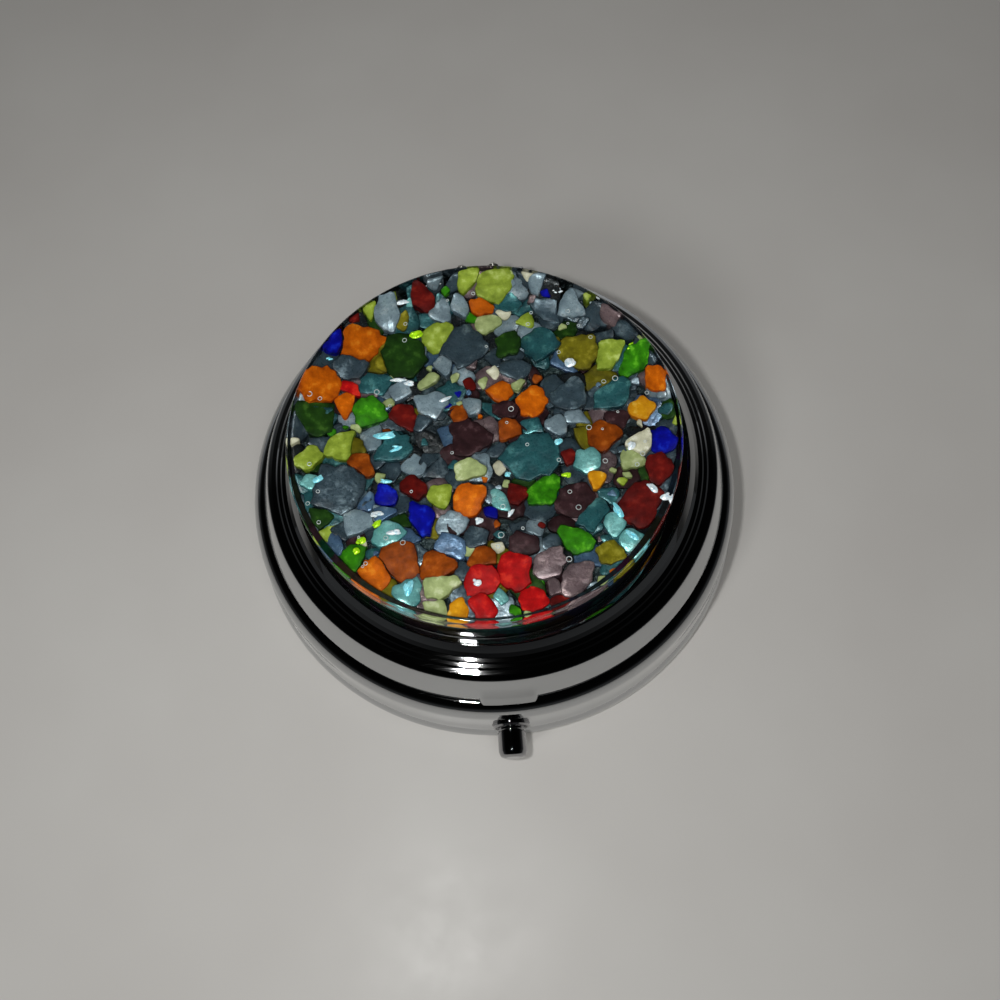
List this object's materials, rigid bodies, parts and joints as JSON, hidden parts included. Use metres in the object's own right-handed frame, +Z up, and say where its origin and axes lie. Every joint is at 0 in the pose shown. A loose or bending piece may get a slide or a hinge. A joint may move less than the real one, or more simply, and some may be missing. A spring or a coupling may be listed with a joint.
{
  "type": "pill box",
  "caption": "Round chromed travel pill organizer with a push-button latch, a hinged mirror lid topped by a fused mosaic glass disc, and a divided inner tray.",
  "frame": {"origin": "centre of the flat resting face, on the surface it stands on", "axes": "+Z up through the middle of the case, -Y towards the push button, +Y towards the hinge"},
  "size_m": [0.05, 0.0532, 0.0182],
  "materials": {
    "chrome_plate": "polished chrome plating over pressed steel",
    "button_chrome": "polished chrome plating",
    "spring_steel": "bright spring steel",
    "plated_steel": "nickel-plated sheet steel",
    "tray_plastic": "moulded ivory-white plastic",
    "liner_plastic": "moulded plastic",
    "mirror_glass": "silvered glass",
    "foam": "thin double-sided foam pad",
    "clear_glass": "clear fused glass, fire-polished",
    "mosaic_glass": "fused chips of coloured glass",
    "foil": "silver foil",
    "adhesive": "cured clear adhesive"
  },
  "bodies": {
    "base": {"base_shell": "chrome_plate", "compartment_tray": "tray_plastic", "latch_cover": "chrome_plate", "cover_screws": "plated_steel", "button_bush": "button_chrome", "latch_bracket": "plated_steel", "base_hinge_leaf": "chrome_plate", "base_hinge_rivets": "plated_steel", "hinge_pin": "spring_steel", "torsion_spring": "spring_steel"},
    "lid": {"lid_shell": "chrome_plate", "lid_catch": "plated_steel", "lid_hinge_leaf": "chrome_plate", "lid_hinge_rivets": "plated_steel", "lid_liner": "liner_plastic", "mirror": "mirror_glass", "mirror_pad": "foam", "glass_adhesive": "adhesive", "glass_foil": "foil", "mosaic_layer": "mosaic_glass", "glass_puck": "clear_glass"},
    "button": {"push_button": "button_chrome", "latch_hook": "spring_steel", "retaining_clip": "spring_steel", "return_spring": "spring_steel"}
  },
  "joints": [
    {"name": "lid_hinge", "type": "hinge", "parent": "base", "child": "lid", "pos_m": [0, 0.0242, 0.0073], "axis": [-1, 0, 0], "range_deg": [0, 105], "deforming": ["torsion_spring"]},
    {"name": "button_press", "type": "slide", "parent": "base", "child": "button", "axis": [0, 1, 0], "range_m": [0, 0.001], "stiffness_N_per_m": 800, "deforming": ["return_spring"]}
  ]
}
